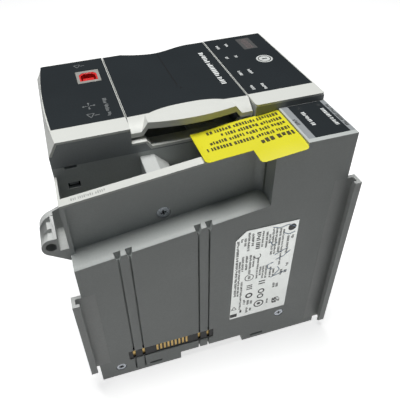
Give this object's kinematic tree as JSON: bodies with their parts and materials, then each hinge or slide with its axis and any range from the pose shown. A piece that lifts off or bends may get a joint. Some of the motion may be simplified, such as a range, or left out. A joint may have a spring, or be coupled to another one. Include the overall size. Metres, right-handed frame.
{
  "type": "programmable controller module",
  "caption": "DIN-rail programmable controller with hinged control door, plug bays, side bus contacts and interlock rails.",
  "frame": {"origin": "middle of the DIN-rail channel's mouth, in the back plane", "axes": "+X towards the module's top end, +Y away from the side where the next module couples, +Z from the back plane to the front bezel"},
  "size_m": [0.1355, 0.1024, 0.1306],
  "materials": {
    "housing_grey": "fine texture",
    "front_grey": "fine texture",
    "trim_pale": "satin",
    "overlay_film": "satin film",
    "strip_film": "silver print",
    "badge_film": "white print",
    "sticker_film": "yellow film",
    "nameplate_film": "pale silver film",
    "rail_grey": "satin",
    "window_smoke": "polished",
    "light_clear": "polished",
    "port_metal": "plated",
    "port_red": "moulded",
    "contact_gold": "gold plated",
    "connector_black": "moulded",
    "screw_steel": "zinc plated",
    "board_green": "solder mask",
    "cooling_aluminium": "extruded",
    "capacitor_sleeve": "shrink sleeve",
    "core_ferrite": "ferrite",
    "button_pale": "moulded",
    "card_blue": "moulded"
  },
  "bodies": {
    "housing": {"rear_base": "housing_grey", "main_housing": "housing_grey", "expansion_side_cover": "housing_grey", "bay_rim": "trim_pale", "bay_divider": "rail_grey", "upper_interlock_rail": "rail_grey", "lower_interlock_rail": "rail_grey", "plug_hook": "rail_grey", "front_housing": "front_grey", "bezel_lower": "trim_pale", "bezel_lower_label": "overlay_film", "bezel_upper": "trim_pale", "bezel_upper_label": "overlay_film", "round_badge": "badge_film", "display_window": "window_smoke", "display_module": "connector_black", "status_light_pipes": "light_clear", "door_hinge_pins": "screw_steel", "finger_scoop": "trim_pale", "control_panel": "front_grey", "mode_switch_body": "connector_black", "reset_switch": "connector_black", "sd_socket": "connector_black", "energy_module": "rail_grey", "power_front": "housing_grey", "power_label": "overlay_film", "legend_strips": "strip_film", "power_light_pipes": "light_clear", "usb_shell": "port_metal", "usb_insert": "port_red", "ethernet_jacks": "connector_black", "ethernet_contacts": "contact_gold", "sa_power_header": "connector_black", "mod_power_header": "connector_black", "header_pins": "contact_gold", "bus_connector": "connector_black", "bus_signal_contacts": "contact_gold", "bus_power_contacts": "contact_gold", "power_board": "board_green", "main_board": "board_green", "front_board": "board_green", "board_screws": "screw_steel", "heat_sink": "cooling_aluminium", "power_transformer": "core_ferrite", "power_capacitors": "capacitor_sleeve", "processor_module": "cooling_aluminium", "board_link": "connector_black", "case_screws": "screw_steel", "nameplate": "nameplate_film", "caution_sticker": "sticker_film"},
    "door": {"door": "trim_pale", "door_label": "overlay_film"},
    "mode_lever": {"mode_switch_lever": "button_pale"},
    "reset_button": {"reset_button": "button_pale"},
    "memory_card": {"sd_card": "card_blue"},
    "upper_latch": {"upper_din_latch": "rail_grey"},
    "lower_latch": {"lower_din_latch": "rail_grey"}
  },
  "joints": [
    {"name": "door_hinge", "type": "hinge", "parent": "housing", "child": "door", "pos_m": [0, 0.0463, 0.1276], "axis": [-1, 0, 0], "range_deg": [0, 95]},
    {"name": "mode_lever_slide", "type": "slide", "parent": "housing", "child": "mode_lever", "axis": [0, 1, 0], "range_m": [-0.003, 0.003]},
    {"name": "reset_press", "type": "slide", "parent": "housing", "child": "reset_button", "axis": [0, 0, -1], "range_m": [0, 0.0008], "stiffness_N_per_m": 600, "springref_m": -0.0005},
    {"name": "card_eject", "type": "slide", "parent": "housing", "child": "memory_card", "axis": [0, 0, 1], "range_m": [0, 0.003]},
    {"name": "upper_latch_slide", "type": "slide", "parent": "housing", "child": "upper_latch", "axis": [1, 0, 0], "range_m": [0, 0.004]},
    {"name": "lower_latch_slide", "type": "slide", "parent": "housing", "child": "lower_latch", "axis": [-1, 0, 0], "range_m": [0, 0.004]}
  ]
}
